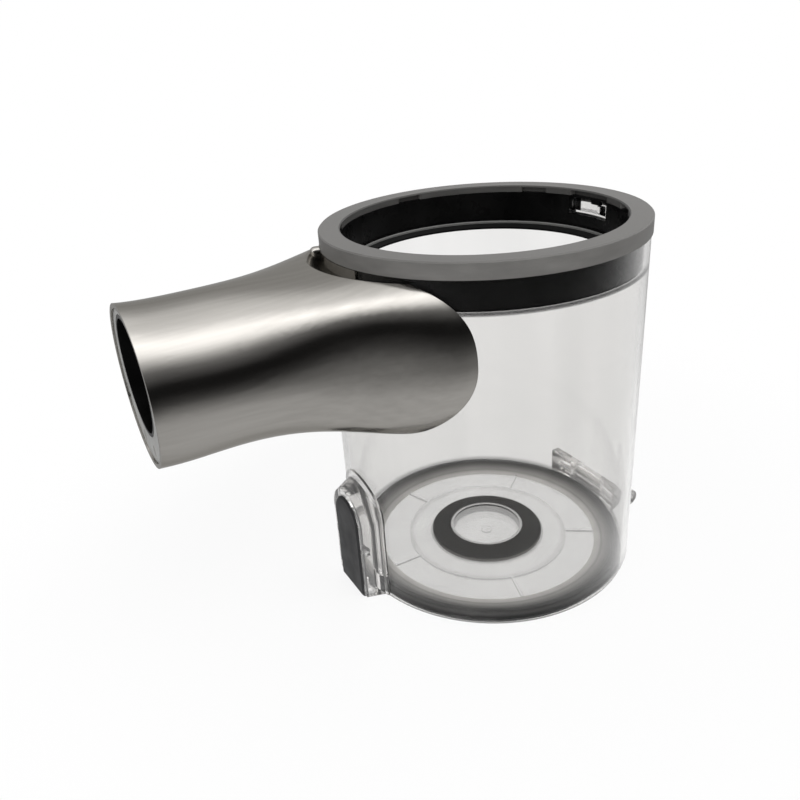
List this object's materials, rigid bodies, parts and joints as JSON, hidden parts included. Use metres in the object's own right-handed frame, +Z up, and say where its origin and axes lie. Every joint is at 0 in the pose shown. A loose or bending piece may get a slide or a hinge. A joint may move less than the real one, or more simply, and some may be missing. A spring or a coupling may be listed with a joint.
{
  "type": "cyclone dust bin",
  "caption": "Clear round dust bin for a cyclone cleaner, with a side inlet under a metallic cover, a bayonet collar, and a hinged, sealed and latched lid at its foot.",
  "frame": {"origin": "on the bin's axis, in the plane of the closed lid's underside", "axes": "+Z up along the bin's axis, -Y along the inlet towards its mouth, +Y to the lid's hinge"},
  "size_m": [0.112, 0.1872, 0.1317],
  "materials": {
    "clear_plastic": "clear, slightly grey, polished",
    "satin_grey": "satin",
    "black_plastic": "satin to gloss",
    "metallic_cover": "satin metallic coat",
    "pale_grey": "fine grain",
    "lever_grey": "satin",
    "grey_rubber": "matt",
    "dark_rubber": "matt",
    "contact_metal": "plain",
    "steel": "plain"
  },
  "bodies": {
    "bin": {"bin_shell": "clear_plastic", "top_ring": "satin_grey", "bayonet_collar": "black_plastic", "collar_seal": "grey_rubber", "rear_catch": "clear_plastic", "inlet_cover": "metallic_cover", "inlet_duct": "black_plastic", "mouth_plate": "pale_grey", "contact_block": "black_plastic", "contact_blades": "contact_metal", "hinge_pin": "clear_plastic", "latch_pin": "steel", "latch_spring": "steel"},
    "lid": {"lid_disc": "clear_plastic", "lid_rim_seal": "grey_rubber", "cup_seal": "dark_rubber"},
    "latch": {"latch_lever": "lever_grey"}
  },
  "joints": [
    {"name": "lid_hinge", "type": "hinge", "parent": "bin", "child": "lid", "pos_m": [0, 0.0594, 0.0048], "axis": [1, 0, 0], "range_deg": [0, 95]},
    {"name": "latch_pivot", "type": "hinge", "parent": "bin", "child": "latch", "pos_m": [0, -0.06, 0.021], "axis": [-1, 0, 0], "range_deg": [0, 6], "stiffness_Nm_per_rad": 0.5, "springref_deg": -5.73, "deforming": ["latch_spring"]}
  ]
}
